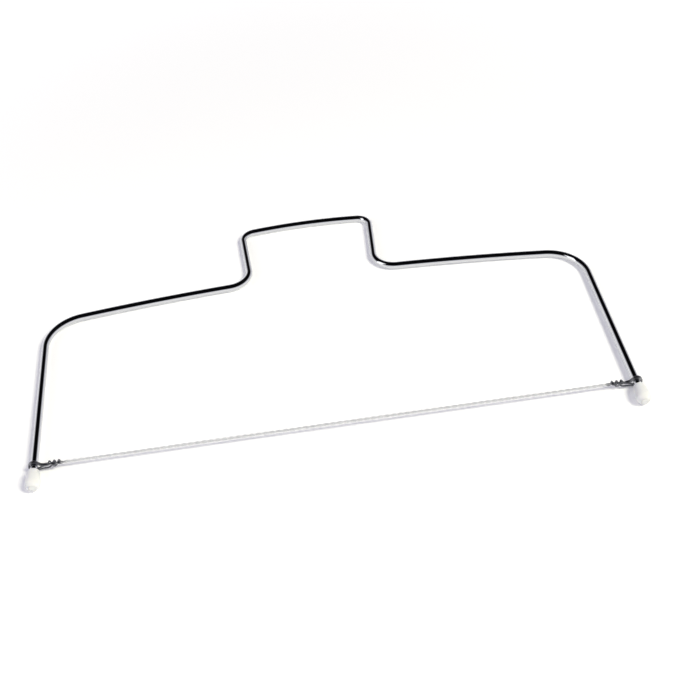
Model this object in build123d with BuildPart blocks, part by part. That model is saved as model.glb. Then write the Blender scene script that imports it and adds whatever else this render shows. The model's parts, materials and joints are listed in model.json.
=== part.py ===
"""Single-wire cake leveler: a bent rod frame on two moulded feet, with a twisted wire between its legs.

It lies flat, as it is put down on a worktop: +Z is up, X runs along the wire, the handle is towards +Y,
and the origin is on the worktop below the middle of the whole leveler. All lengths are in millimetres.
"""
import os
from math import asin, cos, dist, pi, sin, sqrt

from build123d import *

# Frame rod. Its centre line is drawn flat, X across and Y up from the lowest notch.
# The corner points are where two stretches would meet if the rod weren't rounded there.
# Heights are above the lowest notch, and the handle's rise is above the foot of the handle.
rod_diameter = 4.0
leg_spacing = 306.0
shoulder_height = 108.3
shoulder_radius = 22.5
handle_foot_height = 119.4
handle_foot_spacing = 72.0
handle_foot_radius = 12.5
handle_rise = 48.3
handle_width = 77.2
handle_corner_radius = 7.5
bar_bow = 1.5
handle_bow = 2.6
rod_end_chamfer = 0.4

# Notches in the outer side of each leg
notch_count = 7
notch_pitch = 5.0
notch_depth = 0.7
notch_width = 2.0

# Feet, pushed on the ends of the legs
foot_clearance = 1.9
foot_length = 11.5
foot_diameter = 7.8
foot_top_diameter = 5.8
foot_sole_diameter = 3.4
foot_widest_depth = 7.8
foot_edge_fillet = 0.4
foot_bore_depth = 8.0
foot_bore_clearance = 0.05

# Cutting wire: two strands twisted together, which part again at each leg
strand_diameter = 0.9
eye_clearance = 0.25
strand_gap = 0.14
winding_clearance = 0.1
winding_pitch = 4.8
winding_lead = 1.8
winding_spread = 1.4
winding_slack = 0.4
long_winding_quarter_count = 5
short_winding_quarter_count = 1
tail_length = 1.8
fork_share = 1.63

# One overrun for every cut
overrun = 1.0

# Sizes that follow from the ones above
rod_radius = rod_diameter / 2
strand_radius = strand_diameter / 2
wire_radius = strand_diameter
eye_radius = rod_radius + eye_clearance + strand_radius
eye_offset = (strand_diameter + strand_gap) / 2
winding_radius = wire_radius + winding_clearance + strand_radius
fork_lead = strand_diameter
fork_distance = eye_radius * fork_share + fork_lead
foot_top = -(winding_radius + strand_radius + foot_clearance)
foot_sole = foot_top - foot_length
rod_end = foot_top - foot_bore_depth
handle_height = handle_foot_height + handle_rise

# The frame's plane leans a little: the feet hold the legs higher than the handle, which lies on its rod.
handle_top = handle_height + handle_bow
lean = asin((foot_diameter / 2 - rod_radius) / (handle_top - foot_top + foot_widest_depth))
plane_height = rod_radius + handle_top * sin(lean)
front_edge = foot_sole * cos(lean) - foot_sole_diameter / 2 * sin(lean)
back_edge = handle_top * cos(lean) + rod_radius
frame_plane = Plane(
    origin=(0, -(front_edge + back_edge) / 2, plane_height),
    x_dir=(1, 0, 0),
    z_dir=(0, sin(lean), cos(lean)),
)


def in_frame(across, up, out=0.0):
    """The place of a point that is given in the frame's plane: across, up the legs, out of the plane."""
    return frame_plane.from_local_coords(Vector(across, up, out))


def leg_plane(side, up):
    """A plane square to a leg, at a height on it, that looks up the leg; side is -1 or 1."""
    return Plane(origin=in_frame(side * leg_spacing / 2, up), x_dir=(1, 0, 0), z_dir=frame_plane.y_dir)


# Frame rod: one swept bar, bent at six corners, with bowed stretches where the wire's pull draws it in
shoulder = (-leg_spacing / 2, shoulder_height)
handle_foot = (-handle_foot_spacing / 2, handle_foot_height)
handle_corner = (-handle_width / 2, handle_height)
bends = [
    (shoulder, shoulder_radius),
    (handle_foot, handle_foot_radius),
    (handle_corner, handle_corner_radius),
]

with BuildPart() as frame_rod:
    with BuildLine(frame_plane) as centre_line:
        Line((-leg_spacing / 2, rod_end), shoulder)
        SagittaArc(shoulder, handle_foot, bar_bow)
        Line(handle_foot, handle_corner)
        mirror(about=Plane.YZ)
        SagittaArc(handle_corner, (handle_width / 2, handle_height), handle_bow)
        for (across, up), radius in bends:
            for corner in (in_frame(across, up), in_frame(-across, up)):
                fillet(centre_line.vertices().sort_by_distance(corner)[0], radius)
    with BuildSketch(leg_plane(-1, rod_end)):
        Circle(rod_radius)
    sweep(path=centre_line.wires()[0])
    chamfer(frame_rod.faces().filter_by(GeomType.PLANE).edges(), rod_end_chamfer)
    with BuildSketch(frame_plane.offset(-rod_radius - overrun)):
        for side in (-1, 1):
            outer_side = leg_spacing / 2 + rod_radius - notch_depth + notch_width / 2
            for row in range(notch_count):
                with Locations((side * outer_side, row * notch_pitch)):
                    Circle(notch_width / 2)
    extrude(amount=2 * (rod_radius + overrun), mode=Mode.SUBTRACT)
frame_rod.part.label = "frame_rod"


def make_foot(side, label):
    """A moulded bulb, turned about its leg: narrow rim, round end, small flat sole and a blind bore."""
    with BuildPart() as foot:
        with BuildSketch(Plane(origin=in_frame(side * leg_spacing / 2, foot_top), x_dir=(1, 0, 0),
                               z_dir=frame_plane.z_dir)) as half:
            with BuildLine() as outline:
                rim = (foot_top_diameter / 2, 0)
                widest = (foot_diameter / 2, -foot_widest_depth)
                sole = (foot_sole_diameter / 2, -foot_length)
                Line((0, 0), rim)
                TangentArc(widest, rim, tangent=(0, 1))
                TangentArc(widest, sole, tangent=(0, -1))
                Line(sole, (0, -foot_length))
                Line((0, -foot_length), (0, 0))
            make_face()
            for corner in (rim, sole):
                fillet(half.vertices().sort_by_distance(corner)[0], foot_edge_fillet)
        revolve(axis=Axis(in_frame(side * leg_spacing / 2, 0), frame_plane.y_dir))
        with BuildSketch(leg_plane(side, rod_end)):
            Circle(rod_radius + foot_bore_clearance)
        extrude(amount=foot_bore_depth + overrun, mode=Mode.SUBTRACT)
    foot.part.label = label
    return foot.part


left_foot = make_foot(-1, "left_foot")
right_foot = make_foot(1, "right_foot")

# Cutting wire: the straight stretch between the two forks, as thick as its two strands side by side
with BuildPart() as cutting_wire:
    wire_half = leg_spacing / 2 - fork_distance
    with BuildSketch(Plane(origin=in_frame(-wire_half, 0), x_dir=frame_plane.y_dir, z_dir=(1, 0, 0))):
        Circle(wire_radius)
    extrude(amount=2 * wire_half)
cutting_wire.part.label = "cutting_wire"


def two_arcs(start, start_way, end, end_way):
    """Start, middle and end of the two arcs that join two places and leave and arrive by the given ways."""
    chord = end - start
    both_ways = start_way + end_way
    turn = 2 * (1 - start_way.dot(end_way))
    along = chord.dot(both_ways)
    if turn > 0.001:
        reach = (sqrt(along ** 2 + turn * chord.dot(chord)) - along) / turn
    else:
        reach = chord.dot(chord) / (2 * along)
    meeting = (start + end + (start_way - end_way) * reach) / 2
    arcs = []
    for first, corner, last in (
        (start, start + start_way * reach, meeting),
        (meeting, end - end_way * reach, end),
    ):
        middle = (first + last) / 2
        half_chord = (last - first).length / 2
        arcs.append((first, middle + (corner - middle) * (half_chord / (half_chord + reach)), last))
    return arcs


def strand_stations(upper, quarters):
    """Places and ways along a strand: inwards from the leg's centre line, up the leg, out of the plane.

    The strand parts from the wire, goes over the leg and round it in the notch, comes back below,
    and winds round the wire. The upper strand lies towards the handle and starts to wind first.
    The lower one hangs a little slack below the wire and follows it half a turn later.
    """
    offset = eye_offset if upper else -eye_offset
    spread = winding_spread / 2 if upper else -winding_spread / 2
    depth = winding_radius + (0 if upper else winding_slack)
    first_turn = fork_distance + winding_lead + (0 if upper else winding_pitch / 2)
    first_quarter = 0 if upper else -1
    outwards, inwards = Vector(-1, 0, 0), Vector(1, 0, 0)
    stations = [
        (Vector(fork_distance, offset, 0), outwards),
        (Vector(fork_distance - fork_lead, offset, 0), outwards),
        (Vector(0, offset, eye_radius), outwards),
        (Vector(-eye_radius, offset, 0), Vector(0, 0, -1)),
        (Vector(0, offset, -eye_radius), inwards),
        (Vector(fork_distance, spread, -depth), inwards),
    ]
    for quarter in range(first_quarter, quarters + 1):
        angle = quarter * pi / 2
        place = Vector(
            first_turn + winding_pitch * quarter / 4, winding_radius * cos(angle), winding_radius * sin(angle)
        )
        way = Vector(winding_pitch / (2 * pi), -winding_radius * sin(angle), winding_radius * cos(angle))
        stations.append((place, way.normalized()))
    last_place, last_way = stations[-1]
    stations.append((last_place + last_way * tail_length, last_way))
    return stations


def make_strand(side, upper, quarters, label):
    """One strand's end as an unbroken tube of straight runs and tangent arcs, and points along it."""

    def placed(point):
        return (side * (leg_spacing / 2 - point.X), point.Y, point.Z)

    stations = strand_stations(upper, quarters)
    with BuildPart() as strand:
        with BuildLine(frame_plane) as route:
            for (start, start_way), (end, end_way) in zip(stations, stations[1:]):
                if (end - start).normalized().dot(start_way) > 0.9999:
                    Line(placed(start), placed(end))
                else:
                    for arc in two_arcs(start, start_way, end, end_way):
                        ThreePointArc(*[placed(point) for point in arc])
        path = route.wires()[0]
        with BuildSketch(Plane(origin=path @ 0, z_dir=path % 0)):
            Circle(strand_radius)
        sweep(path=path)
    strand.part.label = label
    steps = 600
    points = [tuple(path.position_at(step / steps)) for step in range(steps + 1)]
    print(
        f"{label}: length {path.length:.1f}, volume over section times length "
        f"{strand.part.volume / (pi * strand_radius ** 2 * path.length):.4f}, "
        f"least gap to itself {self_gap(points, path.length / steps):.2f}"
    )
    return strand.part, points


def self_gap(points, step_length):
    """The least clear gap between stretches of one strand that are more than a half turn apart on it."""
    apart = int(pi * winding_radius / step_length)
    centres = min(
        dist(points[i], points[j]) for i in range(len(points)) for j in range(i + apart, len(points))
    )
    return centres - strand_diameter


def pair_gap(points, others):
    """The least clear gap between two strands."""
    return min(dist(point, other) for point in points for other in others) - strand_diameter


left_strand_one, left_one_points = make_strand(-1, True, long_winding_quarter_count, "left_strand_one")
left_strand_two, left_two_points = make_strand(-1, False, short_winding_quarter_count, "left_strand_two")
right_strand_one, right_one_points = make_strand(1, True, long_winding_quarter_count, "right_strand_one")
right_strand_two, right_two_points = make_strand(1, False, short_winding_quarter_count, "right_strand_two")
print(f"least gap between the two strands: left {pair_gap(left_one_points, left_two_points):.2f}, "
      f"right {pair_gap(right_one_points, right_two_points):.2f}")

os.makedirs("parts", exist_ok=True)
for part in (
    frame_rod.part,
    left_foot,
    right_foot,
    cutting_wire.part,
    left_strand_one,
    left_strand_two,
    right_strand_one,
    right_strand_two,
):
    export_step(part, f"parts/{part.label}.step")
    print(f"{part.label}: {part.volume:.1f} mm3, {len(part.solids())} solid")

print("lean of the frame in degrees", lean * 180 / pi)
print("plane origin", tuple(frame_plane.origin), "up the legs", tuple(frame_plane.y_dir))
for side in (-1, 1):
    print("sole", side, tuple(in_frame(side * leg_spacing / 2, foot_sole)))
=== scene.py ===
# %% [markdown]
# # A single-wire cake leveler
#
# A cake leveler is a bow of bright steel rod with a cutting wire strung across it. It stands on two
# plastic feet, and the wire slices a cake level as the bow is drawn over the board. Here it lies flat on
# a white table, as in a catalogue picture. This lesson dresses the measured frame: it bends the rod,
# turns the feet, twists the wire and gives each its finish.

# %% Load the measured frame
import json
import math

import bmesh
import bpy
from mathutils import Matrix, Vector


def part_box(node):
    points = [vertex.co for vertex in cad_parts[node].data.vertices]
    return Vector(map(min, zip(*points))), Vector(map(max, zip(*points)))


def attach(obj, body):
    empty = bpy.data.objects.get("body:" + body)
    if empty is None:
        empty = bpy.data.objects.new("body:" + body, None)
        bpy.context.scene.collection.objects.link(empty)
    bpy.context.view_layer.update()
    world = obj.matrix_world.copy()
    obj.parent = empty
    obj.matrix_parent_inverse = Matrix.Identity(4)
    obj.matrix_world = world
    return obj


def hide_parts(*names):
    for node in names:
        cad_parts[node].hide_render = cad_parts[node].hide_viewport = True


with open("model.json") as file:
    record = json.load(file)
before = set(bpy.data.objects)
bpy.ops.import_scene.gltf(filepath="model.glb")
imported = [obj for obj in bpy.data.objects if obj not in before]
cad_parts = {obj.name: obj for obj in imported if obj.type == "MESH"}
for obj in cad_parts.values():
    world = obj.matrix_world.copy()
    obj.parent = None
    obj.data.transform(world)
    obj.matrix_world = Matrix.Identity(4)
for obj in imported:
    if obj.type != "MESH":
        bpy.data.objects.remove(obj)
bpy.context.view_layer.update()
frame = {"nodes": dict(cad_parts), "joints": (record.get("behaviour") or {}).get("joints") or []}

print("nodes to dress:", sorted(frame["nodes"]))

# %% [markdown]
# ## Where everything lies
#
# The bow doesn't lie quite level, because its feet are thicker than its handle. So every piece is drawn
# first in the bow's own plane: X runs along the wire, Y up the legs towards the handle and Z out of the
# plane. One matrix, built from the wire's place and the way it slides, then lays each piece down. The
# spacing of the legs and the thickness of rod and wire are read off the frame, so they can't drift.

# %% Read the places and the thicknesses off the frame
mm = 0.001

wire_low, wire_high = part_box("cutting_wire")
wire_middle = (wire_low + wire_high) / 2
wire_half = (wire_high.x - wire_low.x) / 2
wire_radius = (wire_high.y - wire_low.y) / 2

foot_low, foot_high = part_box("right_foot")
leg_half = (foot_low.x + foot_high.x) / 2
rod_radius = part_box("frame_rod")[1].x - leg_half

up_the_legs = Vector(frame["joints"][0]["axis"]).normalized()
along_wire = Vector((1.0, 0.0, 0.0))
out_of_plane = along_wire.cross(up_the_legs)
plane_turn = Matrix((along_wire, up_the_legs, out_of_plane)).transposed().to_4x4()
lay_down = Matrix.Translation(wire_middle) @ plane_turn
print(f"legs {2 * leg_half / mm:.1f} mm apart")
print(f"rod {2 * rod_radius / mm:.2f} mm thick, wire {2 * wire_radius / mm:.2f} mm thick")

# %% [markdown]
# ## The camera
#
# The picture was taken from a little left of the middle, looking down at about 42 degrees, with the
# camera tipped so that the bow climbs to the right. A long lens keeps the legs from spreading much. The
# camera comes first, because every later choice is judged through it.

# %% Set up the camera
picture_width = 673
focal_length_in_pixels = 1200
camera_azimuth = math.radians(2.67)
camera_elevation = math.radians(42.48)
camera_roll = math.radians(-6.11)
camera_distance = 0.6568
camera_target = Vector((0.0071, -0.0104, 0.0))

camera_turn = (
    Matrix.Rotation(-camera_azimuth, 4, "Z")
    @ Matrix.Rotation(math.pi / 2 - camera_elevation, 4, "X")
    @ Matrix.Rotation(camera_roll, 4, "Z")
)
step_back = Matrix.Translation((0, 0, camera_distance))
camera_data = bpy.data.cameras.new("camera")
camera_data.sensor_width = 36
camera_data.lens = camera_data.sensor_width * focal_length_in_pixels / picture_width
camera = bpy.data.objects.new("camera", camera_data)
camera.matrix_world = Matrix.Translation(camera_target) @ camera_turn @ step_back
bpy.context.scene.collection.objects.link(camera)
bpy.context.scene.camera = camera
bpy.context.scene.view_settings.view_transform = "Standard"
print("camera at", tuple(round(value, 3) for value in camera.matrix_world.translation))

# %% [markdown]
# ## Colours, nodes and objects
#
# Colours are written as the sRGB hex values that a paint chart would give. A shader wants linear light,
# so one function converts them. Another adds a node with its settings and links, so that each material
# below reads as a short recipe. Every shape ends up as a bmesh, and a last function makes an object
# of it.

# %% Helpers for materials
# The Mix node has sockets for every kind of value, and these are the numbers of those for colours.
mix_colour_a = 6
mix_colour_b = 7
mix_colour_result = 2


def linear(hex_colour):
    """A hex colour such as "#f4f4f2" as linear red, green, blue and alpha."""
    values = [int(hex_colour[place:place + 2], 16) / 255 for place in (1, 3, 5)]
    return [v / 12.92 if v <= 0.04045 else ((v + 0.055) / 1.055) ** 2.4 for v in values] + [1.0]


def add_node(tree, kind, settings=None, inputs=None):
    """Adds a node. An input is a value, or another node's output, which is linked."""
    node = tree.nodes.new(kind)
    for name, value in (settings or {}).items():
        setattr(node, name, value)
    for name, value in (inputs or {}).items():
        if isinstance(value, bpy.types.NodeSocket):
            tree.links.new(value, node.inputs[name])
        else:
            node.inputs[name].default_value = value
    return node


def new_material(name, **shader_values):
    """A material with one Principled shader whose constant values are set on its own sockets."""
    material = bpy.data.materials.new(name)
    material.use_nodes = True
    shader = material.node_tree.nodes["Principled BSDF"]
    for socket, value in shader_values.items():
        shader.inputs[socket.replace("_", " ")].default_value = value
    return material, material.node_tree, shader

# %% A helper that makes an object of a bmesh
def make_object(shape, name):
    """Writes the bmesh into a mesh, frees it, and returns a linked object that holds the mesh."""
    mesh = bpy.data.meshes.new(name)
    shape.to_mesh(mesh)
    shape.free()
    made = bpy.data.objects.new(name, mesh)
    bpy.context.scene.collection.objects.link(made)
    return made

# %% [markdown]
# ## The table
#
# The leveler lies on plain white paper, one large matt square. The picture is exposed so that the open
# paper is pure white, with only the deeper shadows left on it. The lamps alone mustn't do that, because
# they would bleach the white feet too. So the paper glows a little, but only as the camera and the bright
# metal see it: it throws none of that light on the leveler. Further out, where the lamp's light fades, it
# glows more, so that the background stays white from every side.

# %% Lay out the table
table_half = 4.0
paper_glow = 0.2
full_glow = 1.0
glow_grows_from = 0.2
glow_is_full_at = 1.2

table_paper, tree, shader = new_material(
    "white_paper", Base_Color=linear("#fcfcfc"), Roughness=0.9, Specular_IOR_Level=0.0)
ray = add_node(tree, "ShaderNodeLightPath")
place = add_node(tree, "ShaderNodeTexCoord")
from_middle = add_node(tree, "ShaderNodeVectorMath", {"operation": "LENGTH"}, {0: place.outputs["Object"]})
strength = add_node(tree, "ShaderNodeMapRange", {"interpolation_type": "SMOOTHSTEP"}, {
    "Value": from_middle.outputs["Value"], "From Min": glow_grows_from, "From Max": glow_is_full_at,
    "To Min": paper_glow, "To Max": full_glow,
})
glow = add_node(tree, "ShaderNodeEmission", inputs={
    "Color": linear("#ffffff"), "Strength": strength.outputs["Result"],
})
glowing = add_node(tree, "ShaderNodeAddShader", inputs={0: shader.outputs[0], 1: glow.outputs[0]})
camera_or_mirror = add_node(tree, "ShaderNodeMath", {"operation": "MAXIMUM"}, {
    0: ray.outputs["Is Camera Ray"], 1: ray.outputs["Is Glossy Ray"],
})
seen_directly = add_node(tree, "ShaderNodeMath", {"operation": "MAXIMUM"}, {
    0: camera_or_mirror.outputs[0], 1: ray.outputs["Is Transmission Ray"],
})
seen_or_lit = add_node(tree, "ShaderNodeMixShader", inputs={
    0: seen_directly.outputs[0], 1: shader.outputs[0], 2: glowing.outputs[0],
})
tree.links.new(seen_or_lit.outputs[0], tree.nodes["Material Output"].inputs["Surface"])

sheet = bmesh.new()
bmesh.ops.create_grid(sheet, x_segments=1, y_segments=1, size=table_half)
table = make_object(sheet, "table")
table.data.materials.append(table_paper)
print("table", 2 * table_half, "m wide")

# %% [markdown]
# ## The light
#
# Bright plating has no colour of its own: it shows the room. In the picture each bar carries one black
# stripe with white on both sides, so the room was bright all round, up to about 20 degrees above the
# table, and dark overhead. The sky is built that way for reflections. Matt surfaces get an even, slightly
# violet light instead, which is the colour of the picture's shadows. A soft lamp on the right adds the
# warm rest and casts the legs' shadows to the left. It stands towards the camera as well, so the bars,
# which lie along X, hide most of their own shadows. The wire hangs higher, and its shadow shows as a
# second pale line close below it.

# %% Light the table from a bright room with a dark ceiling
dark_ceiling_reach = math.radians(71)
ceiling_edge_softness = math.radians(24)
ceiling_tilt_to_camera = math.radians(2)
ceiling_way = (0.0, -math.sin(ceiling_tilt_to_camera), math.cos(ceiling_tilt_to_camera))

world = bpy.data.worlds.new("studio")
world.use_nodes = True
bpy.context.scene.world = world
sky = world.node_tree
sky.nodes.clear()

direction = add_node(sky, "ShaderNodeTexCoord")
towards_ceiling = add_node(sky, "ShaderNodeVectorMath", {"operation": "DOT_PRODUCT"}, {
    0: direction.outputs["Generated"], 1: ceiling_way,
})
ceiling_share = add_node(sky, "ShaderNodeMapRange", {"interpolation_type": "SMOOTHSTEP"}, {
    "Value": towards_ceiling.outputs["Value"],
    "From Min": math.cos(dark_ceiling_reach + ceiling_edge_softness / 2),
    "From Max": math.cos(dark_ceiling_reach - ceiling_edge_softness / 2),
})
room_colour = add_node(sky, "ShaderNodeMix", {"data_type": "RGBA"}, {
    "Factor": ceiling_share.outputs["Result"],
    mix_colour_a: linear("#f7f6fb"),
    mix_colour_b: linear("#060608"),
})
reflected_room = add_node(sky, "ShaderNodeBackground", inputs={
    "Color": room_colour.outputs[mix_colour_result],
})
even_light = add_node(sky, "ShaderNodeBackground", inputs={"Color": linear("#828094")})
seen_white = add_node(sky, "ShaderNodeBackground", inputs={"Color": linear("#fdfdfd")})

ray = add_node(sky, "ShaderNodeLightPath")
diffuse_or_room = add_node(sky, "ShaderNodeMixShader", inputs={
    0: ray.outputs["Is Glossy Ray"], 1: even_light.outputs[0], 2: reflected_room.outputs[0],
})
room_or_white = add_node(sky, "ShaderNodeMixShader", inputs={
    0: ray.outputs["Is Camera Ray"], 1: diffuse_or_room.outputs[0], 2: seen_white.outputs[0],
})
add_node(sky, "ShaderNodeOutputWorld", inputs={"Surface": room_or_white.outputs[0]})
bright_up_to = math.pi / 2 - dark_ceiling_reach
print("the room is bright up to", round(math.degrees(bright_up_to)), "degrees above the table")

# %% A helper that adds a lamp
def add_lamp(name, power, colour, place, target, width, height):
    """Adds a rectangular lamp that stands at a place and faces a target."""
    lamp_data = bpy.data.lights.new(name, "AREA")
    lamp_data.energy = power
    lamp_data.color = linear(colour)[:3]
    lamp_data.shape = "RECTANGLE"
    lamp_data.size = width
    lamp_data.size_y = height
    lamp = bpy.data.objects.new(name, lamp_data)
    facing = (place - target).to_track_quat("Z", "Y")
    lamp.matrix_world = Matrix.Translation(place) @ facing.to_matrix().to_4x4()
    bpy.context.scene.collection.objects.link(lamp)
    print(f"{name}: {power} W, {width} by {height} m")
    return lamp

# %% Add the soft lamp
lamp_power = 53.0
lamp_place = Vector((1.13, -0.8, 1.76))
lamp_way = Vector((-1.0, 0.0, -0.3))
lamp_width = 0.8
lamp_height = 0.95

soft_lamp = add_lamp(
    "soft_lamp", lamp_power, "#fffeea", lamp_place, lamp_place + lamp_way, lamp_width, lamp_height)
soft_lamp.visible_glossy = False

# %% Add the tall window that sparkles in the bends
window_power = 8.5
window_place = Vector((-1.66, -0.32, 0.98))
window_target = Vector((0.0, 0.0, 0.0))
window_width = 1.0
window_height = 1.7

add_lamp("window", window_power, "#ffffff", window_place, window_target, window_width, window_height)

# %% [markdown]
# ## Tying a piece to the frame
#
# Each piece is drawn in the bow's plane, then laid down and handed to the frame: it rides on a body, so
# that it moves as that body does, and it stands for the measured nodes that it covers.

# %% A helper that finishes a piece
def finish_piece(shape, name, material, body, nodes):
    """Lays the bmesh down, makes it an object with smooth faces and ties it to the frame."""
    bmesh.ops.recalc_face_normals(shape, faces=shape.faces)
    bmesh.ops.transform(shape, matrix=lay_down, verts=shape.verts)
    for face in shape.faces:
        face.smooth = True
    piece = make_object(shape, name)
    piece.data.materials.append(material)
    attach(piece, body)
    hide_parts(*nodes)
    print(f"{name}: {len(piece.data.vertices)} points, {len(piece.data.polygons)} faces")

# %% [markdown]
# ## The rod
#
# On the real bow one length of 4 mm rod is bent cold, corner after corner, and the pull of the wire
# draws the three long runs into shallow curves. The same is done here: a circle is pushed out along each
# straight run and spun round the middle of each bend, up to the middle of the handle, and the other half
# is its mirror image. A swept curve would be quicker, but bending keeps each arc true.
#
# First the corners, where two runs would meet, and the radius of each bend.

# %% Name the corners of the rod
leg_end = Vector((-leg_half, -11.8 * mm))
shoulder = Vector((-leg_half, 108.3 * mm))
handle_foot = Vector((-36.0 * mm, 119.4 * mm))
handle_corner = Vector((-38.6 * mm, 167.7 * mm))
other_corner = Vector((-handle_corner.x, handle_corner.y))
shoulder_radius = 22.5 * mm
handle_foot_radius = 12.5 * mm
handle_corner_radius = 7.5 * mm
bar_bow = 1.5 * mm
handle_bow = 2.6 * mm

# %% Find the middle of each bend
def bowed_run(start, end, bow):
    """The middle and the radius of the shallow arc that bows up from a straight run."""
    run = end - start
    radius = (run.length ** 2 / 4 + bow ** 2) / (2 * bow)
    across_run = Vector((-run.y, run.x)).normalized()
    return (start + end) / 2 + across_run * (bow - radius), radius


def bend_middle(line_point, line_way, line_gap, arc_middle, arc_gap):
    """The middle of a bend: one gap to the right of a line and another gap from an arc's middle.

    Two points lie so, and the bend's middle is the one nearer to the line's own point, a corner.
    """
    to_right = Vector((line_way.y, -line_way.x))
    foot = line_point + to_right * line_gap
    along = (arc_middle - foot).dot(line_way)
    nearest = foot + line_way * along
    half_chord = math.sqrt(arc_gap ** 2 - (arc_middle - nearest).length_squared)
    choices = [nearest + line_way * half_chord, nearest - line_way * half_chord]
    return min(choices, key=lambda choice: (choice - line_point).length)


bar_middle, bar_radius = bowed_run(shoulder, handle_foot, bar_bow)
handle_middle, handle_radius = bowed_run(handle_corner, other_corner, handle_bow)
leg_way = Vector((0.0, 1.0))
rise_way = (handle_corner - handle_foot).normalized()
shoulder_bend = bend_middle(
    shoulder, leg_way, shoulder_radius, bar_middle, bar_radius - shoulder_radius)
foot_bend = bend_middle(
    handle_foot, rise_way, -handle_foot_radius, bar_middle, bar_radius + handle_foot_radius)
corner_bend = bend_middle(
    handle_corner, rise_way, handle_corner_radius, handle_middle, handle_radius - handle_corner_radius)
print(f"the bars bow with a radius of {bar_radius / mm:.0f} mm")
print(f"the handle bows with a radius of {handle_radius / mm:.0f} mm")

# %% Helpers that push and bend the open end of the rod
def items_of_kind(geometry, kind):
    """The points or the edges among what an operator returns."""
    return [item for item in geometry if isinstance(item, kind)]


def push(rod, rim, way):
    """Pushes the open end of the rod straight on and returns its new rim."""
    pushed = bmesh.ops.extrude_edge_only(rod, edges=rim)["geom"]
    bmesh.ops.translate(rod, vec=way.to_3d(), verts=items_of_kind(pushed, bmesh.types.BMVert))
    return items_of_kind(pushed, bmesh.types.BMEdge)


def bend(rod, rim, middle, start, end, steps):
    """Spins the open end of the rod about the middle of a bend, from one point on it to another."""
    clockwise_turn = (start - middle).angle_signed(end - middle)
    points = list({point for edge in rim for point in edge.verts})
    spun = bmesh.ops.spin(
        rod, geom=points + rim, cent=middle.to_3d(), axis=(0, 0, 1), angle=-clockwise_turn, steps=steps,
        use_duplicate=False)
    return items_of_kind(spun["geom_last"], bmesh.types.BMEdge)


def touch(middle, towards, radius):
    """The point of a bend that lies towards another point."""
    return middle + (towards - middle).normalized() * radius

# %% Bend one half of the rod
rod_sides = 64
shoulder_steps = 28
bar_steps = 16
handle_foot_steps = 18
handle_corner_steps = 16
half_handle_steps = 8

across_rise = Vector((rise_way.y, -rise_way.x))
leg_top = Vector((-leg_half, shoulder_bend.y))
bar_start = touch(bar_middle, shoulder_bend, bar_radius)
bar_end = touch(bar_middle, foot_bend, bar_radius)
rise_start = foot_bend + across_rise * handle_foot_radius
rise_end = corner_bend - across_rise * handle_corner_radius
handle_start = touch(handle_middle, corner_bend, handle_radius)
handle_top = handle_middle + leg_way * handle_radius

rod = bmesh.new()
facing_up = Matrix.Translation(leg_end.to_3d()) @ Matrix.Rotation(math.pi / 2, 4, "X")
bmesh.ops.create_circle(rod, segments=rod_sides, radius=rod_radius, matrix=facing_up)
rim = list(rod.edges)
bmesh.ops.edgeloop_fill(rod, edges=rim)
rim = push(rod, rim, leg_top - leg_end)
rim = bend(rod, rim, shoulder_bend, leg_top, bar_start, shoulder_steps)
rim = bend(rod, rim, bar_middle, bar_start, bar_end, bar_steps)
rim = bend(rod, rim, foot_bend, bar_end, rise_start, handle_foot_steps)
rim = push(rod, rim, rise_end - rise_start)
rim = bend(rod, rim, corner_bend, rise_end, handle_start, handle_corner_steps)
rim = bend(rod, rim, handle_middle, handle_start, handle_top, half_handle_steps)
middle_points = list({point for edge in rim for point in edge.verts})
furthest_off = max(abs(point.co.x) for point in middle_points)
print("the half rod ends", round(furthest_off / mm, 4), "mm off the middle")

# %% Mirror the half rod
merge_distance = 0.001 * mm

for point in middle_points:
    point.co.x = 0.0
half_rod = rod.verts[:] + rod.edges[:] + rod.faces[:]
bmesh.ops.mirror(rod, geom=half_rod, axis="X", merge_dist=merge_distance)
bmesh.ops.recalc_face_normals(rod, faces=rod.faces)
print("the rod has", len(rod.faces), "faces")

# %% [markdown]
# ## The notches
#
# Seven small notches in the outer side of each leg hold the wire at 5 mm steps of height. On the real
# bow a round tool presses them in. A Boolean modifier with a row of thin cylinders cuts the same shape,
# and the edges that it leaves are kept sharp so that the plating catches light there.

# %% Cut the notches
notch_count = 7
notch_pitch = 5.0 * mm
notch_depth = 0.7 * mm
notch_radius = 1.0 * mm
notch_sides = 40
cutter_length = 3 * rod_radius
cutter_half = leg_half + rod_radius - notch_depth + notch_radius

cutters = bmesh.new()
for side in (-1, 1):
    for row in range(notch_count):
        centre = Matrix.Translation((side * cutter_half, row * notch_pitch, 0))
        bmesh.ops.create_cone(
            cutters, cap_ends=True, segments=notch_sides, radius1=notch_radius, radius2=notch_radius,
            depth=cutter_length, matrix=centre)
cutter = make_object(cutters, "notch_cutters")
blank = make_object(rod, "rod_blank")
cut = blank.modifiers.new("notches", "BOOLEAN")
cut.operation = "DIFFERENCE"
cut.object = cutter
notched = bmesh.new()
notched.from_object(blank, bpy.context.evaluated_depsgraph_get())
for leftover in (blank, cutter):
    bpy.data.objects.remove(leftover)
print("the notched rod is closed:", all(edge.is_manifold for edge in notched.edges))

# %% [markdown]
# ## Bright chrome plating
#
# The rod is cold-drawn steel with a thin layer of bright chrome over nickel. That gives a mirror with a
# faint cold tint. What keeps it from looking like a computer's mirror is small: drawing leaves the bar a
# little uneven, so reflections waver, and handling leaves patches that are a touch duller.

# %% Mix the plating
waver_length = 9.0 * mm
waver_height = 0.05 * mm
dull_patch_length = 14.0 * mm
brightest_roughness = 0.04
dullest_roughness = 0.11

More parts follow.
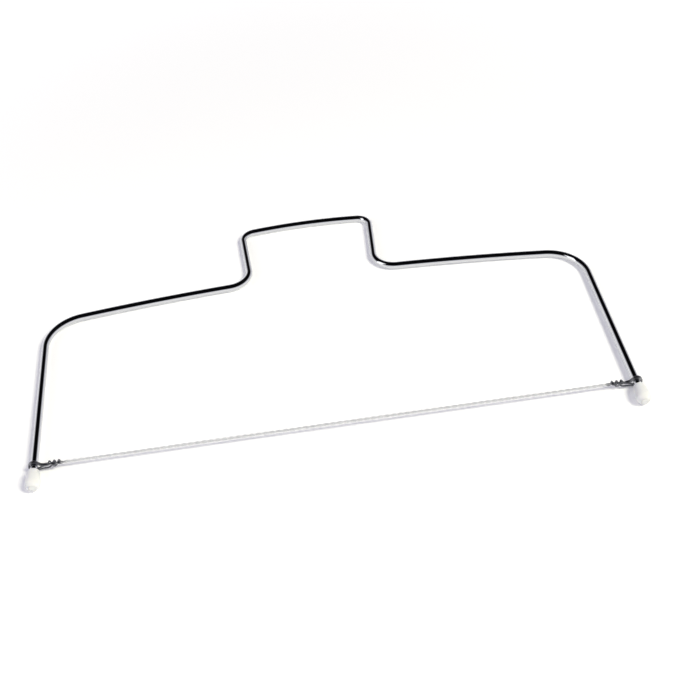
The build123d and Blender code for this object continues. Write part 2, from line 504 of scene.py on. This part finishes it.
plating, tree, shader = new_material(
    "bright_chrome_plating", Base_Color=linear("#d3d4d7"), Metallic=1.0)
place = add_node(tree, "ShaderNodeTexCoord")
waver = add_node(tree, "ShaderNodeTexNoise", inputs={
    "Vector": place.outputs["Object"], "Scale": 1 / waver_length, "Detail": 2.0, "Roughness": 0.4,
})
uneven = add_node(tree, "ShaderNodeBump", inputs={
    "Height": waver.outputs["Fac"], "Strength": 0.25, "Distance": waver_height,
})
patches = add_node(tree, "ShaderNodeTexNoise", inputs={
    "Vector": place.outputs["Object"], "Scale": 1 / dull_patch_length, "Detail": 4.0, "Roughness": 0.6,
})
dullness = add_node(tree, "ShaderNodeMapRange", inputs={
    "Value": patches.outputs["Fac"], "From Min": 0.35, "From Max": 0.7,
    "To Min": brightest_roughness, "To Max": dullest_roughness,
})
tree.links.new(uneven.outputs["Normal"], shader.inputs["Normal"])
tree.links.new(dullness.outputs["Result"], shader.inputs["Roughness"])
print(f"{plating.name}: its reflections waver about every {waver_length / mm:.0f} mm")

# %% Finish the rod
sharp_edge_angle = math.radians(25)

for edge in notched.edges:
    if edge.is_manifold and edge.calc_face_angle() > sharp_edge_angle:
        edge.smooth = False
finish_piece(notched, "bent_rod", plating, "frame", ["frame_rod"])

# %% [markdown]
# ## The feet
#
# Each foot is an injection-moulded bulb of white plastic, pushed on the end of a leg: narrow at the rim,
# fullest two thirds of the way down, with a small flat sole to slide on. It is a turned shape, so its
# outline is drawn once and spun about the leg, and then its two sharp edges are rounded. The outline
# goes on down the inside of the bore, so that the wall shows its thickness at the rim.

# %% Draw the outline of a foot
foot_top = -3.8 * mm
foot_length = 11.5 * mm
foot_radius = (foot_high.x - foot_low.x) / 2
foot_rim_radius = 2.9 * mm
foot_sole_radius = 1.7 * mm
foot_widest_depth = 7.8 * mm
bore_depth = 8.0 * mm
bore_radius = rod_radius + 0.05 * mm
bore_chamfer = 0.15 * mm
side_steps = 18


def side_curve(end_radius, end_depth):
    """Points of the arc that leaves the widest ring straight along the foot and ends at a rim or sole."""
    inwards = foot_radius - end_radius
    along = end_depth - foot_widest_depth
    radius = (inwards ** 2 + along ** 2) / (2 * inwards)
    points = []
    for step in range(side_steps + 1):
        turn = math.asin(along / radius) * step / side_steps
        points.append((
            foot_radius - radius * (1 - math.cos(turn)),
            foot_widest_depth + radius * math.sin(turn)))
    return points


outline = [
    (bore_radius, bore_depth),
    (bore_radius, bore_chamfer),
    (bore_radius + bore_chamfer, 0.0),
    (foot_rim_radius, 0.0),
]
# The rim's arc starts at the widest ring too, so it is taken backwards, without the rim itself.
outline += side_curve(foot_rim_radius, 0.0)[-2::-1]
outline += side_curve(foot_sole_radius, foot_length)[1:]
print("outline of a foot:", len(outline), "points")

# %% [markdown]
# The plastic is glossy polypropylene: slightly warm white, with a soft sheen rather than a mirror, and
# it lets a little light in, so its shaded side stays pale. The mould leaves a very fine grain.

# %% Mix the plastic
grain_size = 0.35 * mm
grain_height = 0.03 * mm
light_depth = 2.0 * mm

foot_plastic, tree, shader = new_material(
    "white_moulded_plastic", Base_Color=linear("#fbfbf8"), Roughness=0.34, IOR=1.49,
    Subsurface_Weight=0.25, Subsurface_Scale=light_depth, Subsurface_Radius=(1.0, 0.9, 0.75))
place = add_node(tree, "ShaderNodeTexCoord")
grain = add_node(tree, "ShaderNodeTexNoise", inputs={
    "Vector": place.outputs["Object"], "Scale": 1 / grain_size, "Detail": 2.0,
})
grained = add_node(tree, "ShaderNodeBump", inputs={
    "Height": grain.outputs["Fac"], "Strength": 0.12, "Distance": grain_height,
})
tree.links.new(grained.outputs["Normal"], shader.inputs["Normal"])
print(f"{foot_plastic.name}: grain of {grain_size / mm:.2f} mm")

# %% Spin the two feet
foot_sides = 72
foot_edge_radius = 0.4 * mm
foot_merge_distance = 0.002 * mm
ring_tolerance = 0.01 * mm
sharp_rings = [(0.0, foot_rim_radius), (foot_length, foot_sole_radius)]


def on_ring(point, depth, radius):
    """Whether a point of a foot lies on the ring of a radius at a depth below the rim."""
    off_depth = abs(foot_top - depth - point.co.y)
    off_radius = abs(point.co.xz.length - radius)
    return off_depth < ring_tolerance and off_radius < ring_tolerance


def spin_foot(side, name, node):
    """Spins the outline about a leg, closes the bore and the sole, and rounds the two edges."""
    foot = bmesh.new()
    points = [foot.verts.new((radius, foot_top - depth, 0)) for radius, depth in outline]
    edges = [foot.edges.new(pair) for pair in zip(points, points[1:])]
    bmesh.ops.spin(
        foot, geom=points + edges, cent=(0, 0, 0), axis=(0, 1, 0), angle=2 * math.pi, steps=foot_sides,
        use_merge=True)
    bmesh.ops.remove_doubles(foot, verts=foot.verts, dist=foot_merge_distance)
    bmesh.ops.holes_fill(foot, edges=[edge for edge in foot.edges if edge.is_boundary], sides=0)
    sharp_edges = [
        edge for edge in foot.edges
        if any(all(on_ring(point, *ring) for point in edge.verts) for ring in sharp_rings)
    ]
    bmesh.ops.bevel(
        foot, geom=sharp_edges, offset=foot_edge_radius, segments=4, profile=0.5, affect="EDGES",
        material=-1)
    bmesh.ops.translate(foot, vec=(side * leg_half, 0, 0), verts=foot.verts)
    finish_piece(foot, name, foot_plastic, "frame", [node])


spin_foot(-1, "moulded_left_foot", "left_foot")
spin_foot(1, "moulded_right_foot", "right_foot")

# %% [markdown]
# ## The wire
#
# Two thin stainless strands are twisted together from leg to leg, which makes a fine saw of the wire. At
# each leg they part, pass over it side by side, go round it at a notch, come back below and are wound on
# the standing wire. Each strand is one smooth Bezier curve from cut end to cut end. Its handles lie
# along the strand's own direction at each point, so quarter turns come out round.

# %% Sizes of the twist and the wound ends
strand_radius = wire_radius / 2
strand_lay = 6.9 * mm
strand_gap = 0.14 * mm
leg_clearance = 0.25 * mm
eye_radius = rod_radius + leg_clearance + strand_radius
eye_offset = strand_radius + strand_gap / 2
fork_lead = 2 * strand_radius
fork_distance = leg_half - wire_half
winding_clearance = 0.1 * mm
winding_radius = wire_radius + winding_clearance + strand_radius
winding_pitch = 4.8 * mm
winding_lead = 1.8 * mm
winding_spread = 0.7 * mm
winding_slack = 0.4 * mm
tail_length = 1.8 * mm

# The first strand is wound with a turn and a quarter and the second with half a turn. These are the
# quarter turns where each has a point.
long_winding = range(0, 6)
short_winding = range(-1, 2)

# %% Work out the course of a strand
def helix_knot(along, quarter_turns, radius, lay):
    """A point of a helix round the wire's line, and the way the helix goes there."""
    angle = quarter_turns * math.pi / 2
    across = radius * math.cos(angle)
    out = radius * math.sin(angle)
    return Vector((along, across, out)), Vector((lay / (2 * math.pi), -out, across)).normalized()


def end_course(upper):
    """Points and ways of a strand's end: inwards from the leg, up the leg, out of the plane."""
    offset = eye_offset if upper else -eye_offset
    spread = winding_spread if upper else -winding_spread
    depth = winding_radius + (0 if upper else winding_slack)
    winding_start = fork_distance + winding_lead + (0 if upper else winding_pitch / 2)
    inwards = Vector((1, 0, 0))
    course = [
        (Vector((fork_distance - fork_lead, offset, 0)), -inwards),
        (Vector((0, offset, eye_radius)), -inwards),
        (Vector((-eye_radius, offset, 0)), Vector((0, 0, -1))),
        (Vector((0, offset, -eye_radius)), inwards),
        (Vector((fork_distance, spread, -depth)), inwards),
    ]
    quarters = long_winding if upper else short_winding
    for quarter in quarters:
        along = winding_start + winding_pitch * quarter / 4
        course.append(helix_knot(along, quarter, winding_radius, winding_pitch))
    last_point, last_way = course[-1]
    course.append((last_point + last_way * tail_length, last_way))
    return course


def strand_course(upper):
    """The whole course of a strand, from its cut end at the left leg to its cut end at the right leg."""
    turns = round(2 * wire_half / strand_lay)
    lay = 2 * wire_half / turns
    first_quarter = 0 if upper else 2
    end = end_course(upper)
    left = [(Vector((point.x - leg_half, point.y, point.z)), -way) for point, way in reversed(end)]
    twist = [
        helix_knot(lay * quarter / 4 - wire_half, first_quarter + quarter, strand_radius, lay)
        for quarter in range(1, 4 * turns)
    ]
    right = [
        (Vector((leg_half - point.x, point.y, point.z)), Vector((-way.x, way.y, way.z)))
        for point, way in end
    ]
    return left + twist + right


print("one strand's curve has", len(strand_course(True)), "knots, the other's", len(strand_course(False)))

# %% [markdown]
# ## Drawn stainless steel
#
# Wire of this kind is drawn through dies and left bright. Fine drawing marks make it less of a mirror
# than the plated rod. From leg to leg it is painted pale and made partly matt: a painted sheen that stands
# in for the soft lamp's highlights, which the metal doesn't reflect. The wound ends are painted darker and
# shinier: painted shade of the tight turns, so they stand out on the white paper. Real drawing marks
# would be too fine to show, so these are drawn coarser.

# %% Mix the wire's steel, with its painted sheen and painted shade
drawing_mark_size = 0.12 * mm
# Up to the first distance from the middle the wire is painted pale, a painted sheen in place of the lamp's
# highlights. From the second on it is painted dark, a painted shade of the wound turns.
painted_sheen_half = leg_half - 17.0 * mm
painted_shade_end_half = leg_half - 12.0 * mm

wire_steel, tree, shader = new_material("drawn_stainless_wire")
place = add_node(tree, "ShaderNodeTexCoord")
places = add_node(tree, "ShaderNodeSeparateXYZ", inputs={0: place.outputs["Object"]})
from_middle = add_node(tree, "ShaderNodeMath", {"operation": "ABSOLUTE"}, {0: places.outputs["X"]})
painted_shade_share = add_node(tree, "ShaderNodeMapRange", {"interpolation_type": "SMOOTHSTEP"}, {
    "Value": from_middle.outputs[0], "From Min": painted_sheen_half, "From Max": painted_shade_end_half,
})
# Painted sheen and shade: a pale tone in the middle, a dark tone at the wound ends.
painted_sheen_and_shade_tone = add_node(tree, "ShaderNodeMix", {"data_type": "RGBA"}, {
    "Factor": painted_shade_share.outputs["Result"],
    mix_colour_a: linear("#f2f3f4"),
    mix_colour_b: linear("#8d8e92"),
})
# The pale middle is partly matt, so the lamp lights it as a painted sheen. The dark ends are full mirrors.
mirror_share = add_node(tree, "ShaderNodeMapRange", inputs={
    "Value": painted_shade_share.outputs["Result"], "To Min": 0.3, "To Max": 1.0,
})
marks = add_node(tree, "ShaderNodeTexNoise", inputs={
    "Vector": place.outputs["Object"], "Scale": 1 / drawing_mark_size, "Detail": 3.0,
})
blur = add_node(tree, "ShaderNodeMapRange", inputs={
    "Value": marks.outputs["Fac"], "From Min": 0.3, "From Max": 0.7, "To Min": 0.24, "To Max": 0.36,
})
tree.links.new(painted_sheen_and_shade_tone.outputs[mix_colour_result], shader.inputs["Base Color"])
tree.links.new(mirror_share.outputs["Result"], shader.inputs["Metallic"])
tree.links.new(blur.outputs["Result"], shader.inputs["Roughness"])
print(f"{wire_steel.name}: pale up to {painted_sheen_half / mm:.0f} mm from the middle")

# %% Twist the two strands
# A quarter circle comes out round where a handle has this share of the way to the next knot.
handle_share = 0.39


def draw_strand(upper, name, nodes):
    """Makes a strand's curve, turns it into a tube and finishes it."""
    course = strand_course(upper)
    curve = bpy.data.curves.new(name + "_course", "CURVE")
    curve.dimensions = "3D"
    curve.resolution_u = 4
    curve.bevel_depth = strand_radius
    curve.bevel_resolution = 3
    curve.use_fill_caps = True
    spline = curve.splines.new("BEZIER")
    spline.bezier_points.add(len(course) - 1)
    for index, (knot, (point, way)) in enumerate(zip(spline.bezier_points, course)):
        before = course[max(index - 1, 0)][0]
        after = course[min(index + 1, len(course) - 1)][0]
        knot.co = point
        knot.handle_left_type = "FREE"
        knot.handle_right_type = "FREE"
        knot.handle_left = point - way * handle_share * (point - before).length
        knot.handle_right = point + way * handle_share * (after - point).length
    drawn = bpy.data.objects.new(curve.name, curve)
    bpy.context.scene.collection.objects.link(drawn)
    evaluated = drawn.evaluated_get(bpy.context.evaluated_depsgraph_get())
    tube_mesh = bpy.data.meshes.new_from_object(evaluated)
    tube = bmesh.new()
    tube.from_mesh(tube_mesh)
    bpy.data.objects.remove(drawn)
    bpy.data.meshes.remove(tube_mesh)
    bmesh.ops.remove_doubles(tube, verts=tube.verts, dist=merge_distance)
    finish_piece(tube, name, wire_steel, "wire", nodes)


draw_strand(True, "wire_strand_one", ["cutting_wire", "left_strand_one", "right_strand_one"])
draw_strand(False, "wire_strand_two", ["left_strand_two", "right_strand_two"])
